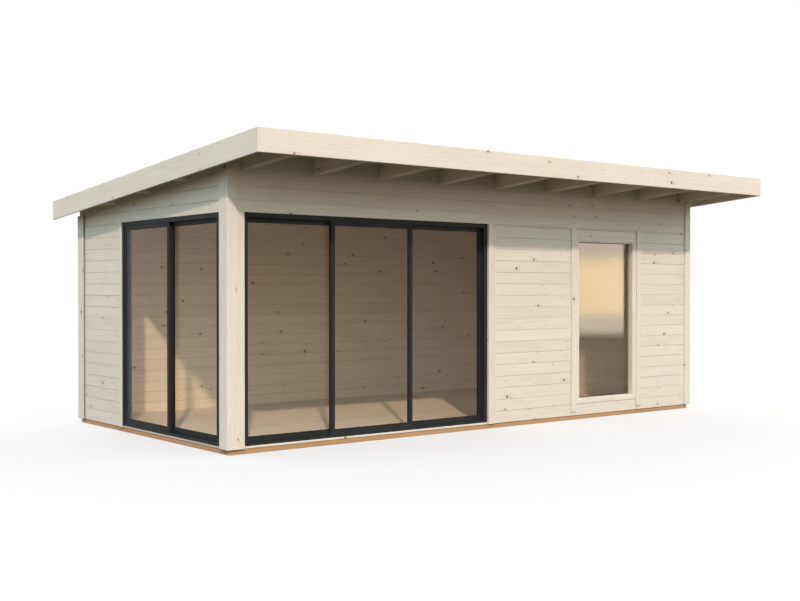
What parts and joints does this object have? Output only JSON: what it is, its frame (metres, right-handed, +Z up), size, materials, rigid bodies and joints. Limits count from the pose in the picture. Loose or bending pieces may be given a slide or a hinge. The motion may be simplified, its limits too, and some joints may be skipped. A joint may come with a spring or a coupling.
{
  "type": "wooden shed",
  "caption": "Wooden garden shed with a single-slope roof on exposed rafters, dark-framed sliding glass doors on the front and one side, and a tall fixed window.",
  "frame": {"origin": "centre of the plan over the roof's edges, at ground level", "axes": "+X along the front to the right, +Y from the front to the back, +Z up"},
  "size_m": [6.65, 4.14, 2.6635],
  "materials": {
    "bearer_wood": "pressure-treated, sawn",
    "floor_wood": "planed boards, untreated",
    "wall_wood": "planed boards, untreated",
    "trim_wood": "planed boards, untreated",
    "frame_metal": "dark grey powder coat, satin",
    "pane_glass": "clear double glazing",
    "roof_wood": "planed timber, untreated",
    "fascia_wood": "planed boards, untreated",
    "roof_covering": "matt roofing felt"
  },
  "bodies": {
    "shed": {"front_bearer": "bearer_wood", "back_bearer": "bearer_wood", "cross_bearers": "bearer_wood", "floor_deck": "floor_wood", "door_thresholds": "floor_wood", "front_wall_middle": "wall_wood", "front_wall_right": "wall_wood", "window_infill_panels": "wall_wood", "front_header": "wall_wood", "left_wall": "wall_wood", "left_header": "wall_wood", "right_wall": "wall_wood", "back_wall": "wall_wood", "corner_post": "trim_wood", "end_corner_boards": "trim_wood", "side_corner_boards": "trim_wood", "door_battens": "trim_wood", "window_battens": "trim_wood", "window_frame": "trim_wood", "front_door_jambs": "frame_metal", "front_door_head": "frame_metal", "front_door_sill": "frame_metal", "front_leaf_left_frame": "frame_metal", "front_leaf_right_frame": "frame_metal", "left_door_jambs": "frame_metal", "left_door_head": "frame_metal", "left_door_sill": "frame_metal", "left_leaf_back_frame": "frame_metal", "window_glass": "pane_glass", "front_leaf_left_glass": "pane_glass", "front_leaf_right_glass": "pane_glass", "left_leaf_back_glass": "pane_glass", "rafters": "roof_wood", "lookouts": "roof_wood", "eaves_closers": "roof_wood", "gable_closers": "roof_wood", "roof_deck": "roof_wood", "front_fascia": "fascia_wood", "back_fascia": "fascia_wood", "side_fascias": "fascia_wood", "roof_felt": "roof_covering"},
    "front_sliding_leaf": {"front_leaf_middle_frame": "frame_metal", "front_leaf_middle_glass": "pane_glass"},
    "left_sliding_leaf": {"left_leaf_front_frame": "frame_metal", "left_leaf_front_glass": "pane_glass"}
  },
  "joints": [
    {"name": "front_leaf_slide", "type": "slide", "parent": "shed", "child": "front_sliding_leaf", "axis": [1, 0, 0], "range_m": [0, 0.9]},
    {"name": "left_leaf_slide", "type": "slide", "parent": "shed", "child": "left_sliding_leaf", "axis": [0, 1, 0], "range_m": [0, 0.9]}
  ]
}
